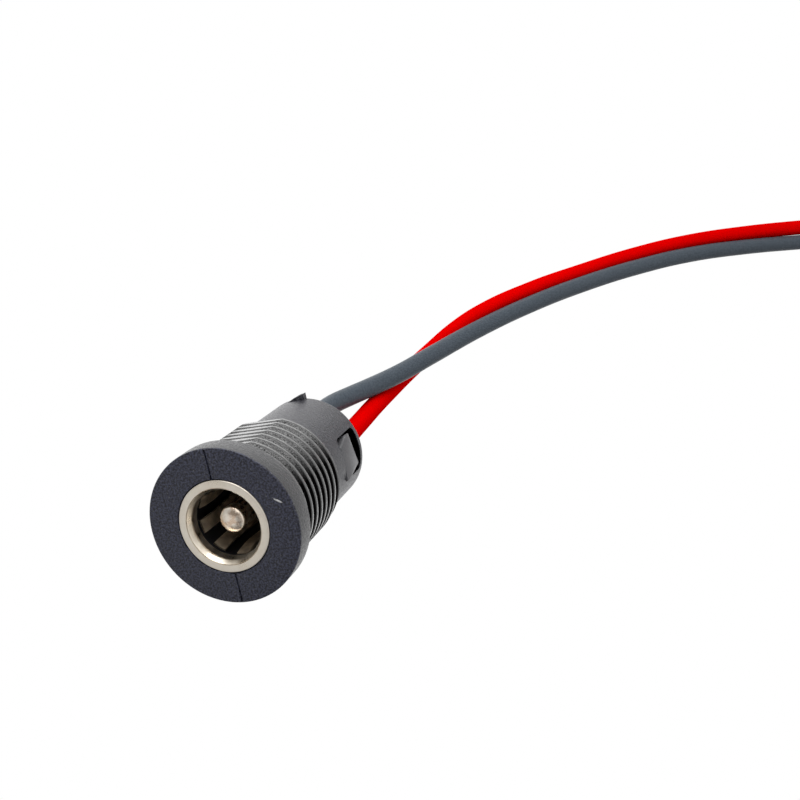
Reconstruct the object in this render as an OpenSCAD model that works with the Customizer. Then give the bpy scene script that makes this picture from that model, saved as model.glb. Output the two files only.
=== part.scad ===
// Panel socket for a round DC power plug, with two soldered leads.
// The axis runs along Y: the plug enters from -Y and the leads leave towards +Y.
// The origin is the middle of the flange's rear face, which sits on the panel.

/* [Flange] */
// Diameter of the front flange
flange_d = 12.4; // [12:0.1:18]
// Thickness of the front flange
flange_t = 2; // [1.6:0.1:4]
// Chamfer on both rims of the flange
flange_edge = 0.2; // [0.05:0.05:0.4]
// Width of the two parting grooves on the front face
seam_w = 0.14; // [0.08:0.02:0.3]
// Depth of the two parting grooves on the front face
seam_depth = 0.16; // [0.06:0.02:0.4]

/* [Threaded barrel] */
// Outside diameter of the thread
thread_d = 11; // [10.6:0.1:11.6]
// Distance from one turn of the thread to the next
thread_pitch = 1; // [0.75:0.25:1.25]
// Depth of the thread from crest to root
thread_depth = 0.5; // [0.3:0.05:0.55]
// Width of the thread's flat crests, and of its flat roots
thread_crest = 0.2; // [0.1:0.05:0.3]
// Length of the threaded part
thread_len = 8.2; // [5:0.1:10]
// Depth of the two flats along the parting line
thread_flat = 0.3; // [0.1:0.05:0.35]

/* [Rear barrel] */
// Diameter of the smooth rear barrel
barrel_d = 9.9; // [9.6:0.1:10.4]
// Length of the smooth rear barrel
barrel_len = 8.1; // [7.6:0.1:12]
// Chamfer on the rear rim
barrel_edge = 0.4; // [0.1:0.05:0.6]
// Width of each window
window_w = 3.9; // [3:0.1:4.6]
// Length of each window
window_len = 4; // [3.4:0.1:4.4]
// Land between the windows and the rear rim
window_land = 0.9; // [0.7:0.1:1.8]
// Thickness of the moulding gate's torn stub at the rear
gate_t = 0.6; // [0.3:0.1:1.5]
// Width of the moulding gate's stub
gate_w = 1.6; // [0.8:0.1:2]
// Height of the moulding gate's stub above the barrel
gate_h = 0.6; // [0.2:0.05:0.8]

/* [Bore and front ring] */
// Bore that takes the insulating core
bore_d = 8; // [7.8:0.05:8.4]
// Outside diameter of the front ring
ring_d = 7.4; // [6.8:0.05:7.6]
// Hole for the plug through the front ring
ring_hole_d = 5.6; // [5.55:0.05:5.8]
// Diameter of the ring's lip, where its lead-in starts
ring_lip_d = 6.1; // [5.9:0.05:6.4]
// Depth of the lead-in for the plug
ring_lead = 0.45; // [0.3:0.05:0.8]
// Depth of the front ring
ring_len = 1.2; // [0.8:0.1:1.5]
// Chamfer round the ring and of its seat
ring_edge = 0.12; // [0.05:0.01:0.2]

/* [Insulating core] */
// Gap round the core in its bore
core_gap = 0.05; // [0.02:0.01:0.1]
// Diameter of the core's mouth
mouth_d = 5.9; // [5.7:0.05:6.3]
// Depth of the core's mouth in front of the contact
mouth_len = 0.5; // [0.3:0.1:2]
// Depth that the plug enters, from the front face
plug_depth = 10; // [8.5:0.1:10.5]
// Thickness of the core's floor
floor_t = 2.4; // [1.6:0.1:2.6]
// Height of the rim round the core's floor
rim_h = 0.3; // [0.1:0.05:0.5]
// Radial thickness of the two snap arms
arm_t = 0.75; // [0.5:0.05:0.9]
// Gap on each side of a snap hook in its window
hook_side_gap = 0.1; // [0.1:0.05:0.5]
// Gap in front of a snap hook in its window
hook_front_gap = 0.1; // [0.05:0.05:0.4]
// Gap behind a snap hook in its window
hook_rear_gap = 0.5; // [0.3:0.05:1.4]
// Depth of a snap hook's flat top below the crown of the barrel
hook_sink = 0.1; // [0:0.05:0.3]
// Size of the ramp on a snap hook's rear edge
hook_ramp = 0.3; // [0.2:0.05:0.5]
// Width that each corner of a snap hook loses
hook_cut_w = 0.7; // [0.4:0.05:0.9]
// Length of the cut at a snap hook's front corners
hook_cut_front = 1.8; // [1:0.1:2]
// Length of the cut at a snap hook's rear corners
hook_cut_rear = 0.7; // [0.3:0.05:0.9]

/* [Centre pin] */
// Diameter of the centre pin
pin_d = 2.1; // [1.9:0.05:2.6]
// Distance of the pin's nose behind the front face
pin_recess = 1.2; // [0:0.05:2]
// Chamfer round the pin's nose
pin_nose = 0.25; // [0.1:0.05:0.5]
// Diameter of the pin's foot
pin_foot_d = 3; // [2.8:0.1:4]
// Thickness of the pin's foot
pin_foot_t = 0.5; // [0.3:0.1:1]
// Diameter of the pin's tail
pin_tail_d = 1.4; // [1:0.1:1.6]
// Diameter of the rivet head on the pin's tail
rivet_d = 2; // [1.8:0.1:2.4]
// Height of the rivet head
rivet_h = 0.4; // [0.2:0.1:0.6]
// Gap round the pin's tail
pin_gap = 0.03; // [0.01:0.01:0.1]

/* [Spring contact] */
// Outside diameter of the contact sleeve
contact_d = 6.5; // [6.2:0.05:6.7]
// Thickness of the contact's sheet
contact_t = 0.25; // [0.15:0.01:0.3]
// Gap round the contact in the core
contact_gap = 0.05; // [0.02:0.01:0.1]
// Number of spring fingers
fingers = 9; // [3:1:10]
// Angle of the slot between two fingers
finger_slot = 20; // [10:1:26]
// How far the fingers bow inwards
finger_bow = 0.3; // [0.1:0.05:0.4]
// Length of the closed band at the contact's root
band_len = 1.6; // [1:0.1:2.5]
// Angle of the contact's tail
tail_angle = 28; // [16:1:36]

/* [Lugs and leads] */
// Thickness of the positive lug
lug_t = 0.4; // [0.3:0.05:0.6]
// Diameter of the positive lug's eye
lug_d = 3; // [2.8:0.1:3.4]
// Width of the positive lug's tab
tab_w = 1.4; // [1:0.1:1.8]
// Length of both lugs behind the core's floor
tab_len = 2.6; // [2:0.1:3]
// Outside diameter of a lead
wire_d = 1.9; // [1.6:0.05:2]
// Diameter of a lead's strands
strand_d = 1; // [0.8:0.05:1.2]
// Stripped length at the free ends
strip_len = 5; // [3:0.5:8]
// Wall of the solder round the strands
solder_wall = 0.35; // [0.2:0.05:0.35]
// Film of solder between the strands and a lug
solder_film = 0.06; // [0.03:0.01:0.15]
// Air between the lower solder joint and the snap arm
solder_air = 0.05; // [0.02:0.01:0.2]
// Length of a solder joint
solder_len = 1.4; // [1:0.1:1.8]

/* [Rear seal] */
// Distance of the potting behind the snap arms
seal_gap = 0.1; // [0.05:0.05:0.3]
// Distance of the potting's rear face inside the rear rim
seal_recess = 0.5; // [0.2:0.05:0.8]

/* [Hidden] */
$fn = 96;
eps = 0.01;

// Places along the axis, counted from the panel
face_y = -flange_t;
core_y = face_y + ring_len;
recess_y = core_y + mouth_len;
floor_y = face_y + plug_depth;
floor_back_y = floor_y + floor_t;
rear_y = thread_len + barrel_len;
window_end_y = rear_y - window_land;
window_y = window_end_y - window_len;
hook_y = window_y + hook_front_gap;
hook_end_y = window_end_y - hook_rear_gap;
seal_y = hook_end_y + seal_gap;
seal_end_y = rear_y - seal_recess;
tab_end_y = floor_back_y + tab_len;

// Radii that more than one piece shares
bore_r = bore_d / 2;
core_r = bore_r - core_gap;
contact_r = contact_d / 2;
contact_in_r = contact_r - contact_t;
recess_r = contact_r + contact_gap;
hook_h = barrel_d / 2 - hook_sink;
hook_r = 1.1 * hook_h;

// The strands lie along each lug, and the solder keeps clear of the lower snap arm
black_x = contact_in_r - solder_film - strand_d / 2;
red_z = -(core_r - arm_t - solder_air - solder_wall - strand_d / 2);
tab_z = red_z + strand_d / 2 + solder_film;
strand_y = floor_back_y + tab_len / 2 - solder_len / 2;

// Routes of the two leads behind the potting, ending straight down
black_route = [
    [2.5, 18, 0], [2.5, 20, -0.1], [2.6, 22, -0.5], [2.6, 24.5, -1.4], [2.6, 27, -2.5], [2.8, 31, -4.6],
    [3.3, 35, -6.8], [4.3, 42, -11.1], [5, 48.5, -15.7], [5.4, 55, -20.9], [5.5, 61.5, -26.9],
    [5.2, 67.5, -33.3], [4.3, 73, -40], [3.1, 78, -46.9], [1.9, 82.3, -54], [0.8, 86, -61.5],
    [0, 89.2, -69.5], [-0.5, 91.8, -77.5], [-0.8, 93.8, -85.5], [-1, 95.2, -93.5], [-1, 96, -101.5],
    [-1, 96, -109]];
red_route = [
    [0, 18, -2.3], [0, 20, -2.3], [0.1, 22, -2.3], [0.3, 24.3, -2.4], [0.6, 26.8, -2.6], [1.1, 31, -3.1],
    [1.9, 35, -4.1], [3.1, 38.8, -5.9], [4.5, 41.8, -8.2], [5.5, 44.8, -10.7], [6.3, 51, -15.5],
    [6.6, 57.2, -20.7], [6.8, 63.6, -26.9], [6.6, 69.4, -33.4], [5.9, 74.4, -40.2], [4.9, 79, -47.2],
    [3.8, 83, -54.2], [2.7, 86.6, -61.7], [1.9, 89.7, -69.7], [1.4, 92.2, -77.6], [1.1, 94.1, -85.6],
    [0.9, 95.4, -93.6], [0.9, 96.1, -101.6], [0.9, 96.1, -109]];
lead_sides = 8;

// Turns a shape built along Z so that it runs along Y, with its own +Y pointing down
module along() {
    rotate([-90, 0, 0]) children();
}

// A round band between two radii, from one place on the axis to another
module band(outer_r, inner_r, from_y, to_y) {
    along() rotate_extrude()
        polygon([[inner_r, from_y], [outer_r, from_y], [outer_r, to_y], [inner_r, to_y]]);
}

// A solid rod on its own line parallel to the axis
module rod(r, from_y, to_y, x = 0, z = 0) {
    translate([x, from_y, z]) along() cylinder(r = r, h = to_y - from_y);
}

// A sector of a revolved profile, centred on an angle about the axis
module sector(angle, middle) {
    along() rotate([0, 0, middle - angle / 2]) rotate_extrude(angle = angle) children();
}

// The thread in section, as turns that end at the rear of the threaded part, behind a collar at the flange.
// They are drawn as rings, which keeps the solid exact; the slant of the helix is left to scene.py.
thread_root_r = thread_d / 2 - thread_depth;
thread_turns = floor((thread_len - thread_crest / 2) / thread_pitch);
thread_outline = [
    for (turn = [0 : thread_turns - 1])
        let (from_y = thread_len - (thread_turns - turn) * thread_pitch, crest_y = from_y + thread_pitch / 2)
            each [[thread_root_r, from_y], [thread_root_r, from_y + thread_crest],
                  [thread_d / 2, crest_y], [thread_d / 2, crest_y + thread_crest]]];

// Outline of the moulding's outside, from the flange's front to the rear rim
housing_outline = [
    [0, face_y], [flange_d / 2 - flange_edge, face_y], [flange_d / 2, face_y + flange_edge],
    [flange_d / 2, -flange_edge], [flange_d / 2 - flange_edge, 0], [thread_d / 2, 0],
    each thread_outline, [thread_root_r, thread_len], [barrel_d / 2, thread_len],
    [barrel_d / 2, rear_y - barrel_edge],
    [barrel_d / 2 - barrel_edge, rear_y], [0, rear_y]];

// The seat of the ring and the bore behind it
seat_r = ring_d / 2;
bore_outline = [
    [0, face_y - eps], [seat_r + ring_edge + eps, face_y - eps], [seat_r, face_y + ring_edge],
    [seat_r, core_y], [bore_r, core_y], [bore_r, rear_y + eps], [0, rear_y + eps]];

module housing() {
    color([0.19, 0.19, 0.21]) {
        difference() {
            along() rotate_extrude() polygon(housing_outline);
            along() rotate_extrude() polygon(bore_outline);
            thread_flats();
            windows();
            seams();
        }
        gate_stub();
    }
}

// Two flats along the parting line, where the two halves of the mould meet
module thread_flats() {
    for (side = [-1, 1])
        translate([side * (thread_d / 2 - thread_flat), 0, -flange_d / 2])
            mirror([side < 0 ? 1 : 0, 0, 0]) cube([flange_d, thread_len, flange_d]);
}

// Two windows for the snap hooks, above and below
module windows() {
    for (side = [-1, 1])
        translate([-window_w / 2, window_y, side * barrel_d / 2 - barrel_d / 4])
            cube([window_w, window_len, barrel_d / 2]);
}

// The parting line on the front face
module seams() {
    for (side = [-1, 1])
        translate([side * flange_d / 2 - flange_d / 4, face_y - eps, -seam_w / 2])
            cube([flange_d / 2, seam_depth + eps, seam_w]);
}

// What is left of the moulding gate: a torn wedge on the parting line at the rear
module gate_stub() {
    top_r = barrel_d / 2 + gate_h;
    foot_r = bore_r + core_gap;
    low_r = barrel_d / 2 - gate_h / 4;
    translate([0, rear_y - 1.2 * barrel_edge, 0]) rotate([90, 0, 0]) linear_extrude(gate_t)
        polygon([[foot_r, gate_w / 2], [low_r, gate_w / 2], [top_r, -gate_w / 2], [foot_r, -gate_w / 2]]);
}

// Plated ring that lines the plug's hole, with a lead-in at its lip
module front_ring() {
    inner_r = ring_hole_d / 2;
    outer_r = ring_d / 2;
    color([0.78, 0.75, 0.69]) along() rotate_extrude()
        polygon([[ring_lip_d / 2, face_y], [outer_r - ring_edge / 2, face_y],
                 [outer_r, face_y + ring_edge / 2], [outer_r, core_y], [inner_r, core_y],
                 [inner_r, face_y + ring_lead]]);
}

// Inner moulding: the cup round the plug, its floor, and two arms with snap hooks
module insulator_core() {
    color([0.12, 0.12, 0.13]) difference() {
        along() rotate_extrude() polygon([
            [mouth_d / 2, core_y], [core_r, core_y], [core_r, hook_y], [hook_r, hook_y],
            [hook_r, hook_end_y], [core_r - arm_t, hook_end_y], [core_r - arm_t, floor_back_y],
            [pin_tail_d / 2 + pin_gap, floor_back_y], [pin_tail_d / 2 + pin_gap, floor_y],
            [recess_r, floor_y], [recess_r, recess_y], [mouth_d / 2, recess_y]]);
        tail_slot();
        between_arms();
        hook_tops();
        hook_corners();
    }
}

// Slot in the floor for the spring contact's tail
module tail_slot() {
    slot_angle = tail_angle + 2 * atan(contact_gap / contact_in_r);
    inner_r = contact_in_r - contact_gap;
    outer_r = contact_r + contact_gap / 2;
    sector(slot_angle, 0)
        polygon([[inner_r, floor_y - eps], [outer_r, floor_y - eps], [outer_r, rear_y], [inner_r, rear_y]]);
}

// What is cut away on both sides, so that one arm is left above and one below
module between_arms() {
    hook_angle = 2 * atan((window_w / 2 - hook_side_gap) / hook_h);
    for (middle = [0, 180])
        sector(180 - hook_angle, middle)
            polygon([[core_r - 2 * arm_t, floor_back_y + rim_h], [flange_d / 2, floor_back_y + rim_h],
                     [flange_d / 2, rear_y], [core_r - 2 * arm_t, rear_y]]);
}

// What is cut off above each hook: its flat top, and a ramp that faces the rear
module hook_tops() {
    for (side = [0, 1])
        mirror([0, 0, side]) translate([-flange_d / 2, 0, 0]) rotate([90, 0, 90]) linear_extrude(flange_d)
            polygon([[hook_y - eps, hook_h], [hook_end_y - hook_ramp, hook_h],
                     [hook_end_y + eps, hook_h - hook_ramp - eps], [hook_end_y + eps, flange_d],
                     [hook_y - eps, flange_d]]);
}

// What is cut off at the corners of each hook, down to just above its arm
module hook_corners() {
    half_w = window_w / 2 - hook_side_gap;
    in_x = half_w - 2 * hook_cut_w;
    out_x = half_w + hook_cut_w;
    for (side = [0, 1], flip = [0, 1])
        mirror([0, 0, side]) mirror([flip, 0, 0]) translate([0, 0, core_r + 2 * core_gap])
            linear_extrude(flange_d / 2) {
                polygon([[in_x, hook_y - hook_cut_front], [out_x, hook_y - hook_cut_front],
                         [out_x, hook_y + 2 * hook_cut_front]]);
                polygon([[in_x, hook_end_y + hook_cut_rear], [out_x, hook_end_y + hook_cut_rear],
                         [out_x, hook_end_y - 2 * hook_cut_rear]]);
            }
}

// Contact pin with a chamfered nose, riveted through the core's floor
module centre_pin() {
    r = pin_d / 2;
    nose_y = face_y + pin_recess;
    foot_y = floor_y - pin_foot_t;
    head_y = floor_back_y + lug_t;
    color([0.82, 0.79, 0.74]) along() rotate_extrude()
        polygon([[0, nose_y], [r - pin_nose, nose_y], [r, nose_y + pin_nose], [r, foot_y],
                 [pin_foot_d / 2, foot_y], [pin_foot_d / 2, floor_y], [pin_tail_d / 2, floor_y],
                 [pin_tail_d / 2, head_y], [rivet_d / 2, head_y], [rivet_d / 2, head_y + rivet_h],
                 [0, head_y + rivet_h]]);
}

// Bowed inner line of a finger, from its root at 0 to its tip at 1
function finger_r(t) = contact_in_r - finger_bow * sin(180 * pow(t, 1.6) * 0.9);
finger_root_y = floor_y - band_len;
finger_tip_y = recess_y + 4 * contact_gap;
slot_end_y = finger_root_y + contact_t / 2;
finger_steps = 8;
finger_line = [for (i = [0 : finger_steps])
    let (t = i / finger_steps)
    [finger_r(t), finger_root_y + (finger_tip_y - finger_root_y) * t]];
contact_outline = concat(
    [[contact_in_r, tab_end_y]], finger_line,
    [for (i = [finger_steps : -1 : 0]) finger_line[i] + [contact_t, 0]],
    [[contact_r, tab_end_y]]);

// Slotted sleeve that grips the outside of the plug, with its own solder tail
module spring_contact() {
    inner_r = contact_in_r - 2 * finger_bow;
    outer_r = contact_r + finger_bow;
    color([0.72, 0.55, 0.36]) difference() {
        along() rotate_extrude() polygon(contact_outline);
        for (i = [0 : fingers - 1])
            sector(finger_slot, i * 360 / fingers)
                polygon([[inner_r, recess_y], [outer_r, recess_y],
                         [outer_r, slot_end_y], [inner_r, slot_end_y]]);
        sector(360 - tail_angle, 180)
            polygon([[inner_r, floor_y], [outer_r, floor_y], [outer_r, rear_y], [inner_r, rear_y]]);
    }
}

// Eye under the rivet, with a tab bent back along the axis
module positive_lug() {
    color([0.74, 0.72, 0.67]) difference() {
        union() {
            rod(lug_d / 2, floor_back_y, floor_back_y + lug_t);
            translate([-tab_w / 2, floor_back_y, tab_z]) cube([tab_w, lug_t, -tab_z]);
            translate([-tab_w / 2, floor_back_y, tab_z]) cube([tab_w, tab_len, lug_t]);
        }
        rod(pin_tail_d / 2 + pin_gap, floor_back_y - eps, floor_back_y + lug_t + eps);
    }
}

// A drop of solder round the strands, rounded at both ends
module solder_drop(x, z) {
    r = strand_d / 2 + solder_wall;
    translate([x, strand_y, z]) along() rotate_extrude()
        polygon([[0, 0], [r - solder_wall / 2, 0], [r, solder_wall], [r, solder_len - solder_wall],
                 [r - solder_wall / 2, solder_len], [0, solder_len]]);
}

module positive_solder() {
    color([0.66, 0.67, 0.68]) difference() {
        solder_drop(0, red_z);
        rod(strand_d / 2, strand_y - eps, seal_y, 0, red_z);
        translate([-tab_w / 2, floor_back_y, tab_z]) cube([tab_w, tab_len, 2 * lug_t]);
    }
}

module negative_solder() {
    color([0.66, 0.67, 0.68]) difference() {
        solder_drop(black_x, 0);
        rod(strand_d / 2, strand_y - eps, seal_y, black_x, 0);
        band(contact_r + solder_wall, contact_in_r, floor_back_y, tab_end_y + solder_len);
    }
}

// Stripped strands: a length at the lug, and the tinned free end
module conductor(x, z, route) {
    last = route[len(route) - 1];
    color([0.80, 0.78, 0.74]) {
        rod(strand_d / 2, strand_y, seal_y, x, z);
        translate(last - [0, 0, strip_len]) cylinder(r = strand_d / 2, h = strip_len);
    }
}

module black_conductor() {
    conductor(black_x, 0, black_route);
}

module red_conductor() {
    conductor(0, red_z, red_route);
}

// Potting that fills the rear of the bore round both leads
module rear_seal() {
    color([0.08, 0.08, 0.09]) difference() {
        rod(bore_r, seal_y, seal_end_y);
        rod(wire_d / 2, seal_y - eps, seal_end_y + eps, black_x, 0);
        rod(wire_d / 2, seal_y - eps, seal_end_y + eps, 0, red_z);
    }
}

// Direction of a route at one of its points
function unit(v) = v / norm(v);
function heading(route, i) = unit(route[min(i + 1, len(route) - 1)] - route[max(i - 1, 0)]);

// One ring of the tube's corners, square to the route
function lead_ring(route, i) =
    let (ahead = i == 0 ? [0, 1, 0] : i == len(route) - 1 ? [0, 0, -1] : heading(route, i),
         side = unit([1, 0, 0] - ahead[0] * ahead),
         over = cross(side, ahead))
    [for (k = [0 : lead_sides - 1])
        route[i] + wire_d / 2 * (cos(k * 360 / lead_sides) * side + sin(k * 360 / lead_sides) * over)];

// A lead's insulation, swept through the potting and along its route
module lead(start, route) {
    path = concat([start, [start[0], seal_end_y, start[2]]], route);
    rings = len(path);
    points = [for (i = [0 : rings - 1], p = lead_ring(path, i)) p];
    near_cap = [for (k = [0 : lead_sides - 1]) k];
    far_cap = [for (k = [lead_sides - 1 : -1 : 0]) (rings - 1) * lead_sides + k];
    walls = [for (i = [0 : rings - 2], k = [0 : lead_sides - 1])
        let (a = i * lead_sides + k, b = i * lead_sides + (k + 1) % lead_sides)
        [a, a + lead_sides, b + lead_sides, b]];
    polyhedron(points, concat([near_cap], walls, [far_cap]));
}

module black_wire() {
    color([0.16, 0.17, 0.20]) lead([black_x, seal_y, 0], black_route);
}

module red_wire() {
    color([0.80, 0.02, 0.02]) lead([0, seal_y, red_z], red_route);
}

housing();
front_ring();
insulator_core();
centre_pin();
spring_contact();
positive_lug();
positive_solder();
negative_solder();
black_conductor();
red_conductor();
rear_seal();
black_wire();
red_wire();
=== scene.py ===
# %% [markdown]
# # A panel socket for a round power plug
#
# The object is a small black socket that screws into a panel. A plug goes in at the front, round a
# bright centre pin, and two leads come out of the sealed rear. The body is only 18 mm long, so this
# lesson keeps its sizes in millimetres and multiplies them by MM where Blender wants metres.
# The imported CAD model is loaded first. It is the fixed frame that every piece here is fitted to.

# %% Load the frame
import math

import bmesh
import bpy
from mathutils import Matrix, Vector, noise


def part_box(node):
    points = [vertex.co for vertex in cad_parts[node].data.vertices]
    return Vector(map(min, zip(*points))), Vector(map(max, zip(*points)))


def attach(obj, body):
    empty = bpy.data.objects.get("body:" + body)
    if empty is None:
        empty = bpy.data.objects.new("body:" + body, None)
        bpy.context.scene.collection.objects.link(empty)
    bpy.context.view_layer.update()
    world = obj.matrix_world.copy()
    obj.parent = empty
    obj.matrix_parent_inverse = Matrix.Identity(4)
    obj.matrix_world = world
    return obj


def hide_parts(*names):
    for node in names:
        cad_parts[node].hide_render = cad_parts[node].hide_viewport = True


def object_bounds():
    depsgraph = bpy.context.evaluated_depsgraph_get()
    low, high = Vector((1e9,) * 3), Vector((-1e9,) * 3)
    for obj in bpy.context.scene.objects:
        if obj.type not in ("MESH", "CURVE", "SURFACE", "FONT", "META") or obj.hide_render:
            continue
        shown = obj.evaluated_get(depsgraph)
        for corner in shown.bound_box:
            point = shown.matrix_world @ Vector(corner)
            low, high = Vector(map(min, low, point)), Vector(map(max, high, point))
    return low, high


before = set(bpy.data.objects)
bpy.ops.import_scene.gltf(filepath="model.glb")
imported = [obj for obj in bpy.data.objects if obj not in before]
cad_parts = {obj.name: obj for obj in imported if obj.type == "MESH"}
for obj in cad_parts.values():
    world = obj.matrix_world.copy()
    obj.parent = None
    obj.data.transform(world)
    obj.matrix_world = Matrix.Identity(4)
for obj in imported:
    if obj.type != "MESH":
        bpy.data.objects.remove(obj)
cad_low, cad_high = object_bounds()
MM = 0.001
print("CAD box in mm:", [round(c / MM, 2) for c in (*cad_low, *cad_high)])

# %% [markdown]
# ## The camera
#
# The photograph looks at the socket from below and in front, with the barrel pointing away and the
# picture turned, so that the socket's own +X side is at the top. A camera is easiest to place from
# three facts: where it stands, where it looks and which way is up in the picture. The lens is
# a normal 45 mm one, close to the object, which gives the strong taper of the barrel.

# %% Place the camera
EYE = Vector((22.97, -64.23, -37.61)) * MM
LOOK = Vector((-0.22187, 0.91972, 0.32386)).normalized()
PICTURE_UP = Vector((0.95481, 0.27229, -0.11917)).normalized()
LENS_MM = 45.0
SENSOR_MM = 36.0
NEAREST = 1.0

picture_right = LOOK.cross(PICTURE_UP)
turn = Matrix((picture_right, PICTURE_UP, -LOOK)).transposed()
camera_data = bpy.data.cameras.new("photo_camera")
camera_data.lens = LENS_MM
camera_data.sensor_width = SENSOR_MM
camera_data.clip_start = NEAREST * MM
camera = bpy.data.objects.new("photo_camera", camera_data)
camera.matrix_world = Matrix.Translation(EYE) @ turn.to_4x4()
bpy.context.collection.objects.link(camera)
bpy.context.scene.camera = camera
print("camera distance in mm:", round(EYE.length / MM, 1))

# %% [markdown]
# ## The two leads
#
# Each lead is a thin insulated wire, about 150 mm long, that leaves the potting straight and then
# bends down under its own weight. The red one starts below the black one, passes behind it and
# then runs along it. A curve with a round bevel is the natural tool for a wire: its few points
# are the route, and Blender makes the tube. The points are those of the CAD model's routes. The
# bevel has a radius of 1, and each point's own radius brings it down to the wire's.

# %% Draw the leads
LEAD_D = 1.9
STEPS_PER_SPAN = 10
TUBE_DETAIL = 6
SEAL_LOW, SEAL_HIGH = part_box("rear_seal")
BLACK_EXIT = Vector((2.44 * MM, SEAL_HIGH.y, 0))
RED_EXIT = Vector((0, SEAL_HIGH.y, -2.3 * MM))
BLACK_ROUTE = [
    (2.5, 18, 0), (2.5, 20, -0.1), (2.6, 22, -0.5), (2.6, 24.5, -1.4), (2.6, 27, -2.5), (2.8, 31, -4.6),
    (3.3, 35, -6.8), (4.3, 42, -11.1), (5, 48.5, -15.7), (5.4, 55, -20.9), (5.5, 61.5, -26.9),
    (5.2, 67.5, -33.3), (4.3, 73, -40), (3.1, 78, -46.9), (1.9, 82.3, -54), (0.8, 86, -61.5),
    (0, 89.2, -69.5), (-0.5, 91.8, -77.5), (-0.8, 93.8, -85.5), (-1, 95.2, -93.5), (-1, 96, -101.5),
    (-1, 96, -109)]
RED_ROUTE = [
    (0, 18, -2.3), (0, 20, -2.3), (0.1, 22, -2.3), (0.3, 24.3, -2.4), (0.6, 26.8, -2.6), (1.1, 31, -3.1),
    (1.9, 35, -4.1), (3.1, 38.8, -5.9), (4.5, 41.8, -8.2), (5.5, 44.8, -10.7), (6.3, 51, -15.5),
    (6.6, 57.2, -20.7), (6.8, 63.6, -26.9), (6.6, 69.4, -33.4), (5.9, 74.4, -40.2), (4.9, 79, -47.2),
    (3.8, 83, -54.2), (2.7, 86.6, -61.7), (1.9, 89.7, -69.7), (1.4, 92.2, -77.6), (1.1, 94.1, -85.6),
    (0.9, 95.4, -93.6), (0.9, 96.1, -101.6), (0.9, 96.1, -109)]


def lead_curve(name, exit_point, route):
    """A round tube along a smooth curve from the potting's front face to the stripped end."""
    start = Vector((exit_point.x, SEAL_LOW.y, exit_point.z))
    points = [start, exit_point] + [Vector(p) * MM for p in route]
    data = bpy.data.curves.new(name, "CURVE")
    data.dimensions = "3D"
    data.resolution_u = STEPS_PER_SPAN
    data.bevel_depth = 1.0
    data.bevel_resolution = TUBE_DETAIL
    data.use_fill_caps = True
    spline = data.splines.new("BEZIER")
    spline.bezier_points.add(len(points) - 1)
    for knot, place in zip(spline.bezier_points, points):
        knot.co = place
        knot.radius = LEAD_D / 2 * MM
        knot.handle_left_type = "AUTO"
        knot.handle_right_type = "AUTO"
    piece = bpy.data.objects.new(name, data)
    bpy.context.collection.objects.link(piece)
    length = sum((b - a).length for a, b in zip(points[1:], points[2:]))
    print(name, "free length in mm:", round(length / MM, 1))
    return piece, length


black_lead, black_length = lead_curve("black_lead", BLACK_EXIT, BLACK_ROUTE)
red_lead, red_length = lead_curve("red_lead", RED_EXIT, RED_ROUTE)

# %% [markdown]
# ## Helpers for turned pieces
#
# Nearly every part of a socket is round, so nearly every piece starts as a half section: a chain of
# edges in the XY plane, with X as the radius and Y as the axis. Corners are rounded by bevelling the
# chain's vertices, which is cheaper than bevelling the finished solid, and one spin makes the body.

# %% Half sections and spinning
AXIS = Vector((0, 1, 0))
TURN_STEPS = 128
ROUND_STEPS = 4
WELD = 1e-7


def half_section(bm, points, rounds=(), closed=False):
    """Draws (radius, place) points in mm as a chain; rounds holds (point number, radius in mm)."""
    verts = [bm.verts.new((r * MM, y * MM, 0)) for r, y in points]
    pairs = list(zip(verts, verts[1:]))
    if closed:
        pairs.append((verts[-1], verts[0]))
    for a, b in pairs:
        bm.edges.new((a, b))
    for number, radius in rounds:
        bmesh.ops.bevel(bm, geom=[verts[number]], offset=radius * MM, offset_type="OFFSET",
                        segments=ROUND_STEPS, profile=0.5, affect="VERTICES", material=-1)


def turned(bm, steps=TURN_STEPS):
    """Spins all that is in the bmesh once round the socket's axis and closes the seam."""
    bmesh.ops.spin(bm, geom=bm.verts[:] + bm.edges[:], cent=(0, 0, 0), axis=AXIS, dvec=(0, 0, 0),
                   angle=math.tau, steps=steps, use_merge=True, use_normal_flip=False,
                   use_duplicate=False)
    bmesh.ops.remove_doubles(bm, verts=bm.verts[:], dist=WELD)


def finished_piece(name, bm, node, crisp_deg=35):
    """Makes a piece that stands for a CAD node, shaded smooth except at crisp edges."""
    bmesh.ops.recalc_face_normals(bm, faces=bm.faces[:])
    open_edges = sum(1 for e in bm.edges if not e.is_manifold)
    mesh = bpy.data.meshes.new(name)
    bm.to_mesh(mesh)
    bm.free()
    mesh.shade_smooth()
    mesh.set_sharp_from_angle(angle=math.radians(crisp_deg))
    piece = bpy.data.objects.new(name, mesh)
    bpy.context.collection.objects.link(piece)
    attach(piece, "root")
    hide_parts(node)
    print(name, "faces:", len(mesh.polygons), "open edges:", open_edges)
    return piece


print("one full turn has steps:", TURN_STEPS)

# %% [markdown]
# ## The housing's thread
#
# The real thread is a helix that is moulded in two halves. A screw is a spin that also moves along
# its axis a little at each step. The section of one pitch ends where the next turn's section starts,
# so welding the doubles joins the turns to one skin. Two cutting planes give the flat ends, and
# the skin is pressed flat on both sides where the two halves of the mould meet.

# %% Screw the thread
HOUSING_LOW, HOUSING_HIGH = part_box("housing")
THREAD_R = 5.5
THREAD_ROOT_R = 5.0
THREAD_PITCH = 1.0
THREAD_CREST = 0.2
THREAD_GULLET = 0.2
THREAD_LEN = 8.2
THREAD_FLAT = 5.2
THREAD_PHASE = -0.6
SPARE_TURNS = 2


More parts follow.
